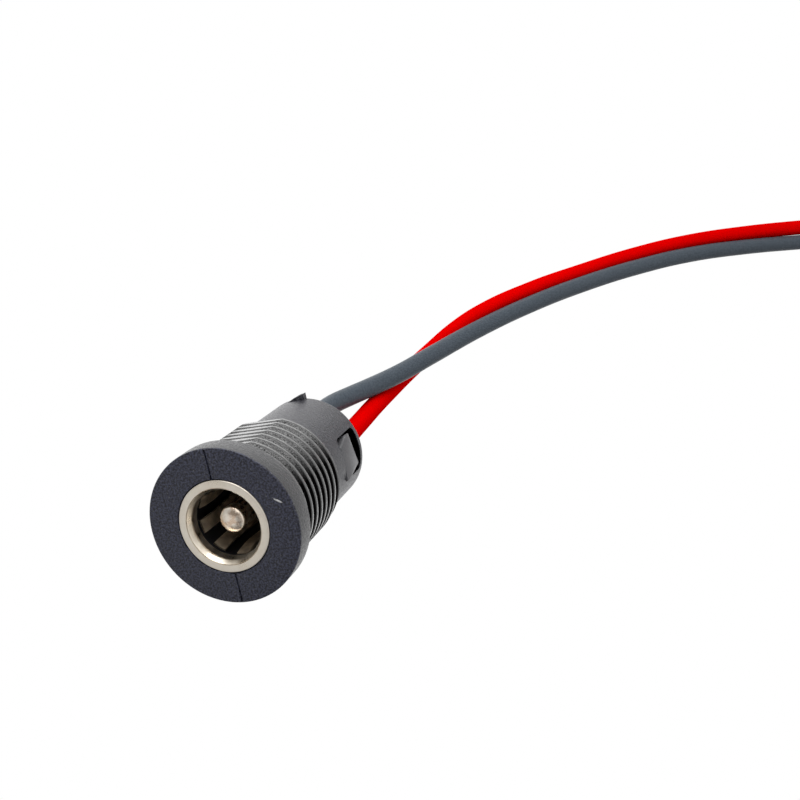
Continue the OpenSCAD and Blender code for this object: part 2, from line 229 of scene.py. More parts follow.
def cut_skin(bm, faces, place, normal, clear_outer=False):
    """Cuts faces along a plane, and can throw away what lies on the normal's side."""
    edges = {e for f in faces for e in f.edges}
    verts = {v for f in faces for v in f.verts}
    bmesh.ops.bisect_plane(bm, geom=list(faces) + list(edges) + list(verts), dist=WELD, plane_co=place,
                           plane_no=normal, clear_outer=clear_outer)


def thread_skin(bm):
    """A helical skin between the flange and the rear barrel, with a flat on each parting line."""
    flank = (THREAD_PITCH - THREAD_CREST - THREAD_GULLET) / 2
    turns = math.ceil(THREAD_LEN / THREAD_PITCH) + SPARE_TURNS
    start = THREAD_PHASE - THREAD_PITCH
    half_section(bm, [(THREAD_ROOT_R, start),
                      (THREAD_ROOT_R, start + THREAD_GULLET),
                      (THREAD_R, start + THREAD_GULLET + flank),
                      (THREAD_R, start + THREAD_GULLET + flank + THREAD_CREST),
                      (THREAD_ROOT_R, start + THREAD_PITCH)])
    bmesh.ops.spin(bm, geom=bm.verts[:] + bm.edges[:], cent=(0, 0, 0), axis=AXIS,
                   dvec=AXIS * THREAD_PITCH / TURN_STEPS * MM, angle=math.tau * turns,
                   steps=TURN_STEPS * turns, use_merge=False, use_normal_flip=False,
                   use_duplicate=False)
    bmesh.ops.remove_doubles(bm, verts=bm.verts[:], dist=WELD)
    cut_skin(bm, bm.faces[:], (0, 0, 0), -AXIS, clear_outer=True)
    cut_skin(bm, bm.faces[:], AXIS * THREAD_LEN * MM, AXIS, clear_outer=True)
    for side in (-1, 1):
        cut_skin(bm, bm.faces[:], (side * THREAD_FLAT * MM, 0, 0), (side, 0, 0))
    for v in bm.verts:
        v.co.x = max(-THREAD_FLAT * MM, min(THREAD_FLAT * MM, v.co.x))


housing_bm = bmesh.new()
thread_skin(housing_bm)
print("thread skin faces:", len(housing_bm.faces))

# %% [markdown]
# ## The housing's turned body
#
# Flange, rear barrel and bore are one half section, left open where the thread goes. After the spin,
# bridge_loops joins the open rims to the thread's two ends. At each end, a radius that lies between
# the two rims tells them apart. The bridge at the rear end has a known fault: it pairs its rims in
# opposite directions, so its faces cross the bore, inside the core's floor. A count of open edges
# doesn't show that, since the mesh is closed all the same.

# %% Turn the body and join the thread
BARREL_R = 4.95
BARREL_EDGE = 0.4
BARREL_ROUND = 0.1
BORE_R = 4.0
BORE_ROUND = 0.15
RING_R = 3.7
SEAT_GAP = 0.09
SEAT_DEPTH = 0.3
RING_LEN = 1.2
FACE_Y = HOUSING_LOW.y / MM
REAR_Y = HOUSING_HIGH.y / MM
FLANGE_R = HOUSING_HIGH.z / MM
SHOULDER_R = 5.75
FLANGE_ROUND = 0.1
FLANGE_REAR_ROUND = 0.12
FLANGE_SPLIT_R = THREAD_R + 0.1
BARREL_SPLIT_R = BARREL_R + 0.02
RIM_TOLERANCE = 10 * WELD


def rim_edges(bm, y, low_r, high_r):
    """Open edges that lie at one place on the axis, between two radii."""
    found = []
    for e in bm.edges:
        if e.is_boundary and all(abs(v.co.y - y * MM) < RIM_TOLERANCE for v in e.verts):
            r = max(math.hypot(v.co.x, v.co.z) for v in e.verts) / MM
            if low_r < r < high_r:
                found.append(e)
    return found


def move_into(target, bm):
    """Moves all that is in one bmesh into another."""
    mesh = bpy.data.meshes.new("moved")
    bm.to_mesh(mesh)
    bm.free()
    target.from_mesh(mesh)
    bpy.data.meshes.remove(mesh)


body_bm = bmesh.new()
half_section(
    body_bm,
    [(BARREL_R, THREAD_LEN), (BARREL_R, REAR_Y - BARREL_EDGE), (BARREL_R - BARREL_EDGE, REAR_Y),
     (BORE_R, REAR_Y), (BORE_R, FACE_Y + RING_LEN), (RING_R, FACE_Y + RING_LEN),
     (RING_R, FACE_Y + SEAT_DEPTH), (RING_R + SEAT_GAP, FACE_Y), (FLANGE_R, FACE_Y), (FLANGE_R, 0),
     (SHOULDER_R, 0)],
    rounds=[(1, BARREL_ROUND), (2, BARREL_ROUND), (3, BORE_ROUND), (8, FLANGE_ROUND),
            (9, FLANGE_REAR_ROUND)])
turned(body_bm)
move_into(housing_bm, body_bm)
for place, split_r in ((0, FLANGE_SPLIT_R), (THREAD_LEN, BARREL_SPLIT_R)):
    inner = rim_edges(housing_bm, place, 0, split_r)
    outer = rim_edges(housing_bm, place, split_r, FLANGE_R)
    bmesh.ops.bridge_loops(housing_bm, edges=inner + outer)
print("open edges after bridging:", sum(1 for e in housing_bm.edges if e.is_boundary))

# %% [markdown]
# ## The windows
#
# Two windows go through the rear barrel, above and below, for the core's snap hooks. Planes mark their
# sides and rounded corners on the outer and inner walls, and the faces inside are deleted. The two
# rims of each hole are then bridged, which makes the window's cheeks.

# %% Cut the windows
WINDOW_W = 3.9
WINDOW_LOW = 11.4
WINDOW_HIGH = 15.4
WINDOW_CORNER = 0.5
CORNER_CUTS = 3
WALL_TOLERANCE = 0.02


def wall_faces(bm, r, low_y, high_y):
    """Faces of a round wall of one radius that reach between two places on the axis."""
    found = []
    for f in bm.faces:
        on_wall = all(abs(math.hypot(v.co.x, v.co.z) / MM - r) < WALL_TOLERANCE for v in f.verts)
        middle = sum(v.co.y for v in f.verts) / len(f.verts) / MM
        if on_wall and low_y < middle < high_y:
            found.append(f)
    return found


def barrel_walls(bm):
    """The outer and inner wall of the rear barrel."""
    return wall_faces(bm, BARREL_R, THREAD_LEN, REAR_Y) + wall_faces(bm, BORE_R, FACE_Y, REAR_Y)


def window_sides():
    """Straight sides and corner cuts of a window, each as a point on it and its outward direction."""
    half = Vector((WINDOW_W, WINDOW_HIGH - WINDOW_LOW)) / 2
    middle = Vector((0, (WINDOW_LOW + WINDOW_HIGH) / 2))
    steps = 4 * (CORNER_CUTS + 1)
    for step in range(steps):
        bearing = math.tau * step / steps
        out = Vector((math.cos(bearing), math.sin(bearing)))
        inner = Vector((math.copysign(half.x - WINDOW_CORNER, out.x),
                        math.copysign(half.y - WINDOW_CORNER, out.y)))
        yield (middle + inner + out * WINDOW_CORNER) * MM, out


def in_window(face):
    """True where a face lies inside the outline of a window."""
    middle = face.calc_center_median().xy
    return all((middle - place).dot(out) < 0 for place, out in window_sides())


for place, out in window_sides():
    cut_skin(housing_bm, barrel_walls(housing_bm), (place.x, place.y, 0), (out.x, out.y, 0))
doomed = [f for f in barrel_walls(housing_bm) if in_window(f)]
bmesh.ops.delete(housing_bm, geom=doomed, context="FACES")
for side in (-1, 1):
    rims = [e for e in housing_bm.edges if e.is_boundary and e.verts[0].co.z * side > 0]
    bmesh.ops.bridge_loops(housing_bm, edges=rims)
print("window faces removed:", len(doomed))

# %% [markdown]
# ## The parting grooves
#
# Two fine grooves cross the front face where the halves of the mould met. They grow out of faces that
# are already there: planes mark a strip, the strip is extruded, and its new vertices are moved in.

# %% Groove the face
SEAM_W = 0.14
SEAM_DEPTH = 0.16
FACE_TOLERANCE = 0.001


def raised(bm, faces):
    """Extrudes a patch of faces and returns the vertices of its new top."""
    made = bmesh.ops.extrude_face_region(bm, geom=faces)["geom"]
    bmesh.ops.delete(bm, geom=faces, context="FACES_ONLY")
    return [g for g in made if isinstance(g, bmesh.types.BMVert)]


def face_ring(bm):
    """Faces of the flat front of the flange."""
    return [f for f in bm.faces if all(abs(v.co.y / MM - FACE_Y) < FACE_TOLERANCE for v in f.verts)]


for z in (-SEAM_W / 2, SEAM_W / 2):
    cut_skin(housing_bm, face_ring(housing_bm), (0, 0, z * MM), (0, 0, 1))
strip = [f for f in face_ring(housing_bm) if abs(f.calc_center_median().z) < SEAM_W / 2 * MM]
for v in raised(housing_bm, strip):
    v.co.y += SEAM_DEPTH * MM
print("groove faces:", len(strip))

# %% [markdown]
# ## The gate's stub
#
# Plastic enters the mould through a gate, and a torn stub of it is left on the parting line at the
# rear. It is a patch of the barrel that is raised like the grooves, outwards this time. It rises
# towards one side, and a little noise tears its top. It is the housing's last detail.

# %% Raise the stub and close the housing
GATE_T = 0.6
GATE_W = 1.6
GATE_H = 0.6
GATE_SET_BACK = 1.3 * BARREL_EDGE
GATE_LEAST = 0.03
TEAR_SHARE = 0.25
TEARS_PER_MM = 3.0

gate_end = REAR_Y - GATE_SET_BACK
gate_start = gate_end - GATE_T
cuts = [((0, 0, z * MM), (0, 0, 1)) for z in (-GATE_W / 2, GATE_W / 2)]
cuts += [((0, y * MM, 0), AXIS) for y in (gate_start, gate_end)]
for place, normal in cuts:
    cut_skin(housing_bm, wall_faces(housing_bm, BARREL_R, THREAD_LEN, REAR_Y), place, normal)
patch = []
for f in wall_faces(housing_bm, BARREL_R, gate_start, gate_end):
    middle = f.calc_center_median() / MM
    if middle.x > 0 and abs(middle.z) < GATE_W / 2:
        patch.append(f)
for v in raised(housing_bm, patch):
    across = 0.5 - v.co.z / MM / GATE_W
    torn = TEAR_SHARE * noise.noise(v.co / MM * TEARS_PER_MM) * across
    v.co.x += GATE_H * MM * max(GATE_LEAST, min(1.0, across + torn))
print("stub faces:", len(patch))
bmesh.ops.remove_doubles(housing_bm, verts=housing_bm.verts[:], dist=WELD)
housing = finished_piece("housing_moulding", housing_bm, "housing")

# %% [markdown]
# ## The ring
#
# The ring that lines the hole is turned brass with a nickel plate. It is a plain closed half section,
# with a lead-in that guides the plug and a fine turned line at its lip.

# %% Turn the ring
RING_HOLE_R = 2.8
RING_LIP_R = 3.05
RING_LEAD_IN = 0.45
RING_ROUND = 0.08
LEAD_IN_ROUND = 0.12
LIP_LINE = 0.05

ring_bm = bmesh.new()
half_section(
    ring_bm,
    [(RING_LIP_R + LIP_LINE, FACE_Y), (RING_R, FACE_Y), (RING_R, FACE_Y + RING_LEN),
     (RING_HOLE_R, FACE_Y + RING_LEN), (RING_HOLE_R, FACE_Y + RING_LEAD_IN),
     (RING_LIP_R, FACE_Y + LIP_LINE / 2), (RING_LIP_R + LIP_LINE, FACE_Y + 1.5 * LIP_LINE)],
    rounds=[(1, RING_ROUND), (4, LEAD_IN_ROUND)], closed=True)
turned(ring_bm)
front_ring = finished_piece("front_ring_turned", ring_bm, "front_ring")

# %% [markdown]
# ## The pin
#
# The pin is turned and plated too. It ends in a low dome with a rounded edge, stands with its foot on
# the floor of the hole, and its thin tail goes through that floor and is riveted over behind it.

# %% Turn the pin
PIN_LOW, PIN_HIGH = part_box("centre_pin")
PIN_R = 1.05
PIN_NOSE = 0.25
DOME_RISE = PIN_NOSE / 6
PIN_FOOT_R = 1.5
PIN_FOOT_T = 0.5
FOOT_ROUND = 0.1
PIN_TAIL_R = 0.7
RIVET_R = 1.0
RIVET_H = 0.4
RIVET_ROUND = 0.2
PIN_STEPS = 64
PLUG_DEPTH = 10
FLOOR_Y = FACE_Y + PLUG_DEPTH

nose_y = PIN_LOW.y / MM
tail_y = PIN_HIGH.y / MM
pin_bm = bmesh.new()
half_section(
    pin_bm,
    [(0, nose_y), (PIN_R / 2, nose_y + DOME_RISE), (PIN_R, nose_y + PIN_NOSE),
     (PIN_R, FLOOR_Y - PIN_FOOT_T), (PIN_FOOT_R, FLOOR_Y - PIN_FOOT_T), (PIN_FOOT_R, FLOOR_Y),
     (PIN_TAIL_R, FLOOR_Y), (PIN_TAIL_R, tail_y - RIVET_H), (RIVET_R, tail_y - RIVET_H),
     (RIVET_R, tail_y), (0, tail_y)],
    rounds=[(1, PIN_NOSE), (2, PIN_NOSE / 2), (4, FOOT_ROUND), (9, RIVET_ROUND)])
turned(pin_bm, steps=PIN_STEPS)
centre_pin = finished_piece("centre_pin_turned", pin_bm, "centre_pin")

# %% [markdown]
# ## The spring contact
#
# Deep in the hole, bowed fingers of bronze strip grip the plug. They are cut from one rolled sleeve.
# So the sleeve's skin is spun first, without thickness, the slots are deleted from it, and solidify
# gives the strip its thickness at the end.

# %% Roll and slot the contact
CONTACT_R = 3.25
CONTACT_T = 0.25
FINGERS = 9
FINGER_SLOT_DEG = 20
FINGER_BOW = 0.3
BOW_STEPS = 12
BOW_SKEW = 1.6
BOW_SHARE = 0.9
FINGER_TIP_Y = -0.1
BAND_Y = 6.4
TAIL_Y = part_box("spring_contact")[1].y / MM
TAIL_DEG = 28
CONTACT_STEPS = 144

bow = []
for i in range(BOW_STEPS + 1):
    t = i / BOW_STEPS
    bow.append((CONTACT_R - FINGER_BOW * math.sin(math.pi * t ** BOW_SKEW * BOW_SHARE),
                BAND_Y + (FINGER_TIP_Y - BAND_Y) * t))
contact_bm = bmesh.new()
half_section(contact_bm, bow[::-1] + [(CONTACT_R, FLOOR_Y), (CONTACT_R, TAIL_Y)])
turned(contact_bm, steps=CONTACT_STEPS)


def cut_away(face):
    """True for the slots between fingers, and for all but the tail behind the floor."""
    middle = face.calc_center_median() / MM
    angle = math.degrees(math.atan2(-middle.z, middle.x))
    spread = 360 / FINGERS
    off_slot = abs((angle + spread / 2) % spread - spread / 2)
    if middle.y > FLOOR_Y:
        return abs(angle) > TAIL_DEG / 2
    return middle.y < BAND_Y and off_slot < FINGER_SLOT_DEG / 2


bmesh.ops.delete(contact_bm, geom=[f for f in contact_bm.faces if cut_away(f)], context="FACES")
bmesh.ops.recalc_face_normals(contact_bm, faces=contact_bm.faces[:])
bmesh.ops.solidify(contact_bm, geom=contact_bm.faces[:], thickness=CONTACT_T * MM)
spring_contact = finished_piece("spring_contact_fingers", contact_bm, "spring_contact")

# %% [markdown]
# ## The core's cup
#
# The insulating core is a moulded cup with two springy arms. The cup holds the contact in a recess,
# carries the pin on its floor, and is one closed half section. It waits until the arms are made.

# %% Turn the cup
CORE_R = 3.95
MOUTH_R = 2.95
MOUTH_END = -0.3
RECESS_R = 3.3
FLOOR_T = 2.4
RIM_H = 0.3
ARM_T = 0.75
PIN_GAP = 0.03
CUP_ROUND = 0.1
core_front = FACE_Y + RING_LEN
floor_back = FLOOR_Y + FLOOR_T

cup_bm = bmesh.new()
half_section(
    cup_bm,
    [(MOUTH_R, core_front), (CORE_R, core_front), (CORE_R, floor_back + RIM_H),
     (CORE_R - ARM_T, floor_back + RIM_H), (CORE_R - ARM_T, floor_back),
     (PIN_TAIL_R + PIN_GAP, floor_back), (PIN_TAIL_R + PIN_GAP, FLOOR_Y), (RECESS_R, FLOOR_Y),
     (RECESS_R, MOUTH_END), (MOUTH_R, MOUTH_END)],
    rounds=[(0, CUP_ROUND), (1, CUP_ROUND)], closed=True)
turned(cup_bm)
print("cup faces:", len(cup_bm.faces))

# %% [markdown]
# ## The arms
#
# Two springy arms reach from the cup's rim back to the windows. An arm is a block: a section as one
# face, spun by a few degrees, so it has the cup's curve. Its edges are rounded as moulded plastic is.
# It ends with the hook that it carries, and is as wide as that hook, so the hook's size comes first.

# %% Mould an arm
HOOK_SINK = 0.1
HOOK_H = BARREL_R - HOOK_SINK
HOOK_GAP = 0.1
HOOK_REAR_GAP = 0.5
HOOK_HIGH = WINDOW_HIGH - HOOK_REAR_GAP
HOOK_HALF_W = WINDOW_W / 2 - HOOK_GAP
ARM_EDGE = 0.07
ARM_SINK = 0.01
ARM_STEPS = 16
CRISP_DEG = 30
half_angle = math.atan(HOOK_HALF_W / HOOK_H)


def spun_block(low_r, high_r, low_y, high_y):
    """A block as wide as an arm, below the axis, between two radii and two places on the axis."""
    bm = bmesh.new()
    half_section(bm, [(low_r, low_y), (high_r, low_y), (high_r, high_y), (low_r, high_y)], closed=True)
    section = bmesh.ops.contextual_create(bm, geom=bm.edges[:])["faces"]
    bmesh.ops.rotate(bm, verts=bm.verts[:], cent=(0, 0, 0),
                     matrix=Matrix.Rotation(math.pi / 2 - half_angle, 3, "Y"))
    bmesh.ops.spin(bm, geom=section, cent=(0, 0, 0), axis=AXIS, dvec=(0, 0, 0), angle=2 * half_angle,
                   steps=ARM_STEPS, use_merge=False, use_normal_flip=False, use_duplicate=False)
    return bm


def add_bevelled(target, bm):
    """Rounds the crisp edges of a block and moves it into the target."""
    bmesh.ops.recalc_face_normals(bm, faces=bm.faces[:])
    crisp = [e for e in bm.edges if e.is_manifold and e.calc_face_angle() > math.radians(CRISP_DEG)]
    bmesh.ops.bevel(bm, geom=crisp, offset=ARM_EDGE * MM, offset_type="OFFSET", segments=2, profile=0.5,
                    affect="EDGES", material=-1)
    move_into(target, bm)


core_bm = bmesh.new()
arm_bm = spun_block(CORE_R - ARM_T, CORE_R - ARM_SINK, floor_back + RIM_H / 2, HOOK_HIGH)
add_bevelled(core_bm, arm_bm)
print("arm faces:", len(core_bm.faces))

# %% [markdown]
# ## The hooks
#
# Each arm carries a flat-topped hook that snaps into a window. It starts as a taller block and is
# sliced flat on its top, on the ramp at its rear and at its corners. A turned copy of arm and hook
# makes the other side, and the cup joins them.

# %% Slice the hook and close the core
HOOK_LOW = WINDOW_LOW + HOOK_GAP
HOOK_R = 1.1 * HOOK_H
HOOK_RAMP = 0.3
HOOK_CUT_W = 0.7
HOOK_CUT_FRONT = 1.8
HOOK_CUT_REAR = 2.7
HOOK_SLANT = 1.2


def sliced(bm, place, out):
    """Cuts off what lies outside a plane and closes the cut with one flat face."""
    cut_skin(bm, bm.faces[:], Vector(place) * MM, out, clear_outer=True)
    bmesh.ops.holes_fill(bm, edges=[e for e in bm.edges if e.is_boundary], sides=0)


hook_bm = spun_block(CORE_R - ARM_T / 2, HOOK_R, HOOK_LOW, HOOK_HIGH)
sliced(hook_bm, (0, HOOK_LOW, -HOOK_H), (0, 0, -1))
sliced(hook_bm, (0, HOOK_HIGH - HOOK_RAMP, -HOOK_H), (0, 1, -1))
sliced(hook_bm, (HOOK_HALF_W, HOOK_LOW + HOOK_CUT_FRONT, 0), (HOOK_CUT_FRONT, -HOOK_CUT_W, 0))
sliced(hook_bm, (-HOOK_HALF_W, HOOK_HIGH - HOOK_CUT_REAR, 0), (-HOOK_CUT_REAR, HOOK_CUT_W, 0))
sliced(hook_bm, (HOOK_HALF_W, HOOK_HIGH - HOOK_SLANT, 0), (HOOK_SLANT, 2 * HOOK_HALF_W, 0))
add_bevelled(core_bm, hook_bm)
one_side = core_bm.verts[:] + core_bm.edges[:] + core_bm.faces[:]
twin = bmesh.ops.duplicate(core_bm, geom=one_side)["geom"]
bmesh.ops.rotate(core_bm, verts=[g for g in twin if isinstance(g, bmesh.types.BMVert)], cent=(0, 0, 0),
                 matrix=Matrix.Rotation(math.pi, 3, "Y"))
move_into(core_bm, cup_bm)
insulator_core = finished_piece("core_moulding", core_bm, "insulator_core")

# %% [markdown]
# ## The potting
#
# The rear is closed with cast resin. It creeps up a little on the wall and on each lead, so a flat
# plate would look wrong. Its top is filled between three circles and inset, and all but the rims is
# lowered. The rims are then extruded inwards to make the resin's sides, and its inner end is filled.

# %% Cast the potting
LEAD_HOLE_R = LEAD_D / 2
HOLE_SIDES = 40
CREEP_W = 0.3
CREEP_H = 0.15

seal_bm = bmesh.new()
flat_turn = Matrix.Rotation(-math.pi / 2, 4, "X")
for centre, radius, sides in ((Vector(), BORE_R, TURN_STEPS), (BLACK_EXIT, LEAD_HOLE_R, HOLE_SIDES),
                              (RED_EXIT, LEAD_HOLE_R, HOLE_SIDES)):
    place = Matrix.Translation((centre.x, SEAL_HIGH.y, centre.z)) @ flat_turn
    bmesh.ops.create_circle(seal_bm, cap_ends=False, radius=radius * MM, segments=sides, matrix=place)
bmesh.ops.triangle_fill(seal_bm, use_beauty=True, use_dissolve=False, edges=seal_bm.edges[:])
bmesh.ops.recalc_face_normals(seal_bm, faces=seal_bm.faces[:])
top = seal_bm.faces[:]
bmesh.ops.inset_region(seal_bm, faces=top, thickness=CREEP_W * MM, depth=0, use_boundary=True,
                       use_even_offset=True)
for f in top:
    for v in f.verts:
        v.co.y = SEAL_HIGH.y - CREEP_H * MM
rims = [e for e in seal_bm.edges if e.is_boundary]
for v in bmesh.ops.extrude_edge_only(seal_bm, edges=rims)["geom"]:
    if isinstance(v, bmesh.types.BMVert):
        v.co.y = SEAL_LOW.y
bmesh.ops.triangle_fill(seal_bm, use_beauty=True, use_dissolve=False,
                        edges=[e for e in seal_bm.edges if e.is_boundary])
rear_seal = finished_piece("potting_cast", seal_bm, "rear_seal", crisp_deg=60)

# %% [markdown]
# ## The stripped strands
#
# Both ends of a lead are stripped: one is soldered inside the socket, the other waits for its user.
# There the copper shows as seven fine wires, six of them twisted round one. Each twisted wire is a
# small circle that is screwed half a turn along the lead.

# %% Twist the strands
STRANDS_ROUND = 6
STRAND_BUNDLE_R = 0.5
STRAND_R = STRAND_BUNDLE_R / 3
STRAND_SIDES = 10
TWIST_STEPS = 20
STRIPPED = 5.0
INNER_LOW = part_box("black_conductor")[0].y


def twisted_bundle(bm, start, ahead, length):
    """Seven fine wires from start along ahead: six twisted half a turn, and one straight inside them."""
    aim = Vector((0, 0, 1)).rotation_difference(ahead).to_matrix().to_4x4()
    for number in range(STRANDS_ROUND + 1):
        bearing = math.tau * number / STRANDS_ROUND
        off = Vector((math.cos(bearing), math.sin(bearing), 0)) * 2 * STRAND_R * MM
        if number == STRANDS_ROUND:
            off = Vector()
        place = Matrix.Translation(start) @ aim @ Matrix.Translation(off)
        rim = bmesh.ops.create_circle(bm, cap_ends=True, radius=STRAND_R * MM, segments=STRAND_SIDES,
                                      matrix=place)
        cap = [f for f in bm.faces if f.verts[0] in rim["verts"]]
        bmesh.ops.spin(bm, geom=cap, cent=start, axis=ahead, dvec=ahead * length / TWIST_STEPS,
                       angle=math.pi, steps=TWIST_STEPS, use_merge=False, use_normal_flip=False,
                       use_duplicate=False)


def stripped_ends(name, exit_point, route, node):
    """The strands at the lug and at the free end of one lead."""
    bm = bmesh.new()
    inner = Vector((exit_point.x, INNER_LOW, exit_point.z))
    twisted_bundle(bm, inner, AXIS, SEAL_LOW.y - INNER_LOW)
    twisted_bundle(bm, Vector(route[-1]) * MM, Vector((0, 0, -1)), STRIPPED * MM)
    return finished_piece(name, bm, node, crisp_deg=50)


black_strands = stripped_ends("black_strands", BLACK_EXIT, BLACK_ROUTE, "black_conductor")
red_strands = stripped_ends("red_strands", RED_EXIT, RED_ROUTE, "red_conductor")

# %% [markdown]
# ## Attaching the leads
#
# Each lead rides on the socket and stands for its CAD solid, which is hidden.

for lead, length, exit_point, node, strands in (
        (black_lead, black_length, BLACK_EXIT, "black_wire", black_strands),
        (red_lead, red_length, RED_EXIT, "red_wire", red_strands)):
    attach(lead, "root")
    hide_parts(node)
    print(lead.name, "declared as a cord that ends in", strands.name)

# %% [markdown]
# ## Finishes
#
# Black plastic is more than black: its fine moulded grain spreads the light, and at a low angle it
# mirrors the white studio, so the barrel looks grey and the front looks dark. Effects that several
# finishes share are node groups with named sockets. A few helpers keep the groups short to write.

# %% Helpers for node trees
def new_group(name, inputs, outputs):
    """An empty shader node group with named float inputs and outputs."""
    group = bpy.data.node_groups.new(name, "ShaderNodeTree")
    for label, value in inputs:
        socket = group.interface.new_socket(label, in_out="INPUT", socket_type="NodeSocketFloat")
        socket.default_value = value
    for label in outputs:
        group.interface.new_socket(label, in_out="OUTPUT", socket_type="NodeSocketFloat")
    return group, group.nodes.new("NodeGroupInput"), group.nodes.new("NodeGroupOutput")


def feed(tree, socket, value):
    """Sets a socket to a number, or links it to another socket."""
    if isinstance(value, (int, float)):
        socket.default_value = value
    else:
        tree.links.new(value, socket)


def coords_in_mm(tree):
    """The piece's own coordinates, in millimetres."""
    coords = tree.nodes.new("ShaderNodeTexCoord")
    scale = tree.nodes.new("ShaderNodeVectorMath")
    scale.operation = "SCALE"
    scale.inputs["Scale"].default_value = 1 / MM
    tree.links.new(coords.outputs["Object"], scale.inputs[0])
    return scale.outputs["Vector"]


def noise_value(tree, vector, scale, detail=3.0):
    """A noise texture on the given coordinates."""
    node = tree.nodes.new("ShaderNodeTexNoise")
    node.inputs["Detail"].default_value = detail
    tree.links.new(vector, node.inputs["Vector"])
    feed(tree, node.inputs["Scale"], scale)
    return node.outputs["Fac"]


def remap(tree, value, low, high, to_low=0.0, to_high=1.0):
    """A clamped change of range."""
    node = tree.nodes.new("ShaderNodeMapRange")
    for label, bound in (("From Min", low), ("From Max", high), ("To Min", to_low), ("To Max", to_high)):
        feed(tree, node.inputs[label], bound)
    tree.links.new(value, node.inputs["Value"])
    return node.outputs["Result"]


def give(tree, value, out, label):
    """Connects a value to one of a group's outputs."""
    tree.links.new(value, out.inputs[label])


print("scale from metres to texture units:", 1 / MM)

# %% [markdown]
# ## Moulded grain and dust
#
# The plastic takes its grain from the mould, which is blasted with fine grit. One noise gives the
# height of the grains and, with more contrast, the flecks of colour. A coarse second noise clouds the
# gloss. Specks of dust are the peaks of another noise.

# %% Grain and dust groups
GRAINS_PER_MM = 6.5
FLECK_RANGE = (0.4, 0.6)
CLOUDS_PER_MM = 0.5
CLOUD_RANGE = (0.3, 0.7)
SPECKS_PER_MM = 6.0
SPECK_RANGE = (0.6, 0.72)

grain_group, grain_in, grain_out = new_group("moulded_grain", [("Grains per mm", GRAINS_PER_MM)],
                                             ["Height", "Cloud", "Fleck"])
grain_place = coords_in_mm(grain_group)
grains = noise_value(grain_group, grain_place, grain_in.outputs["Grains per mm"])
clouds = noise_value(grain_group, grain_place, CLOUDS_PER_MM)
give(grain_group, grains, grain_out, "Height")
give(grain_group, remap(grain_group, grains, *FLECK_RANGE), grain_out, "Fleck")
give(grain_group, remap(grain_group, clouds, *CLOUD_RANGE), grain_out, "Cloud")

dust_group, dust_in, dust_out = new_group("dust_specks", [("Specks per mm", SPECKS_PER_MM)], ["Mask"])
dust_noise = noise_value(dust_group, coords_in_mm(dust_group), dust_in.outputs["Specks per mm"], detail=2.0)
give(dust_group, remap(dust_group, dust_noise, *SPECK_RANGE), dust_out, "Mask")
print("groups:", grain_group.name, "and", dust_group.name)

# %% [markdown]
# ## Turning marks
#
# A lathe leaves fine lines round a turned piece. They are a noise that changes only with the distance
# from the axis and the place along it. A slow haze stands for the uneven plate.

# %% Turning marks group
LINES_PER_MM = 14.0
HAZES_PER_MM = 1.2
HAZE_RANGE = (0.3, 0.7)


def length_of(tree, vector):
    """The length of a vector."""
    node = tree.nodes.new("ShaderNodeVectorMath")
    node.operation = "LENGTH"
    tree.links.new(vector, node.inputs[0])
    return node.outputs["Value"]


def round_the_axis(tree):
    """The distance from the socket's axis, the place along it and the place across it on X, in mm."""
    split = tree.nodes.new("ShaderNodeSeparateXYZ")
    tree.links.new(coords_in_mm(tree), split.inputs["Vector"])
    across = tree.nodes.new("ShaderNodeCombineXYZ")
    tree.links.new(split.outputs["X"], across.inputs["X"])
    tree.links.new(split.outputs["Z"], across.inputs["Z"])
    return length_of(tree, across.outputs["Vector"]), split.outputs["Y"], split.outputs["X"]


def combine(tree, operation, a, b):
    """One step of arithmetic on two numbers or sockets."""
    node = tree.nodes.new("ShaderNodeMath")
    node.operation = operation
    feed(tree, node.inputs[0], a)
    feed(tree, node.inputs[1], b)
    return node.outputs["Value"]


lathe_group, lathe_in, lathe_out = new_group("turning_marks", [("Lines per mm", LINES_PER_MM)],
                                             ["Height", "Haze"])
from_axis, along_axis = round_the_axis(lathe_group)[:2]
lines = lathe_group.nodes.new("ShaderNodeTexNoise")
lines.noise_dimensions = "1D"
lathe_group.links.new(combine(lathe_group, "ADD", from_axis, along_axis), lines.inputs["W"])
lathe_group.links.new(lathe_in.outputs["Lines per mm"], lines.inputs["Scale"])
give(lathe_group, lines.outputs["Fac"], lathe_out, "Height")
haze = noise_value(lathe_group, coords_in_mm(lathe_group), HAZES_PER_MM)
give(lathe_group, remap(lathe_group, haze, *HAZE_RANGE), lathe_out, "Haze")
print("group:", lathe_group.name)

# %% [markdown]
# ## Masks for the housing's wear, painted light and painted shade
#
# A used moulding looks different from place to place, and masks say where. The thread lies between
# two places on the axis, and its grooves are what is deeper than the crest, which is nearer on the
# flats. The grooves that face +X get a pale mix of dust and painted light, as if light fell into
# them. The other grooves and the windows' cheeks get painted shade. The rim of the flange has a mask
# for painted light, and the rear barrel has a mask of its own.

# %% Wear, painted light and painted shade group
MASK_EDGE = 0.05
GROOVE_DEPTHS = (0.04, 0.1)
DUST_AND_LIGHT_FROM = 0.25
DUST_AND_LIGHT_FULL = 0.7
CRUMBS_PER_MM = 12.0
CRUMB_RANGE = (0.35, 0.6)
CRUMB_LEAST = 0.25
CHEEK_EDGE = 0.1
CHEEK_DEPTHS = (0.02, 0.1)
RIM_EDGES = (0.15, 0.05)

